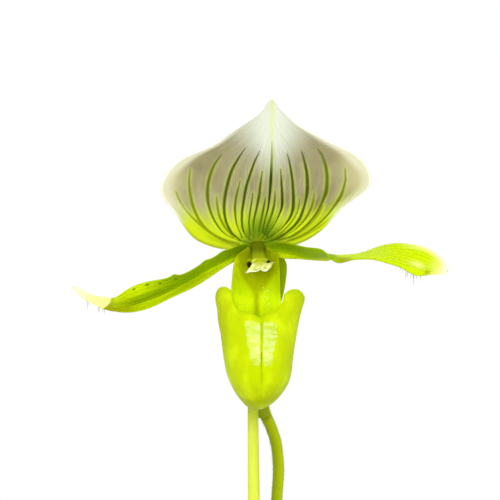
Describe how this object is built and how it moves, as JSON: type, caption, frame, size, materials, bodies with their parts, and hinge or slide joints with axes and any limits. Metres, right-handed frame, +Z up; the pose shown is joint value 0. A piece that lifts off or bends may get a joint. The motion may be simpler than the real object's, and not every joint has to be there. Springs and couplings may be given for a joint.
{
  "type": "potted slipper orchid",
  "caption": "Slipper orchid in bloom in a round clay pot: mottled strap leaves, one staked stem, striped hood, drooping petals and a yellow-green pouch.",
  "frame": {"origin": "centre of the pot's underside", "axes": "+Z up along the stem, the flower faces -Y, +X is to the viewer's right when facing the flower"},
  "size_m": [0.2427, 0.1566, 0.3924],
  "materials": {
    "clay": "matte",
    "bark": "matte",
    "leaf": "satin",
    "stem": "satin",
    "bract": "satin",
    "sepal": "satin",
    "synsepal": "satin",
    "petal": "satin",
    "pouch": "gloss",
    "column": "satin",
    "stake": "satin",
    "tie": "matte"
  },
  "bodies": {
    "root": {"pot": "clay", "potting_bark": "bark", "leaf_01": "leaf", "leaf_02": "leaf", "leaf_03": "leaf", "leaf_04": "leaf", "leaf_05": "leaf", "leaf_06": "leaf", "leaf_07": "leaf", "leaf_08": "leaf", "leaf_09": "leaf", "leaf_10": "leaf", "scape": "stem", "bract": "bract", "dorsal_sepal": "sepal", "synsepal": "synsepal", "petal_left": "petal", "petal_right": "petal", "lip": "pouch", "column": "column", "stake": "stake", "tie": "tie"}
  },
  "joints": []
}
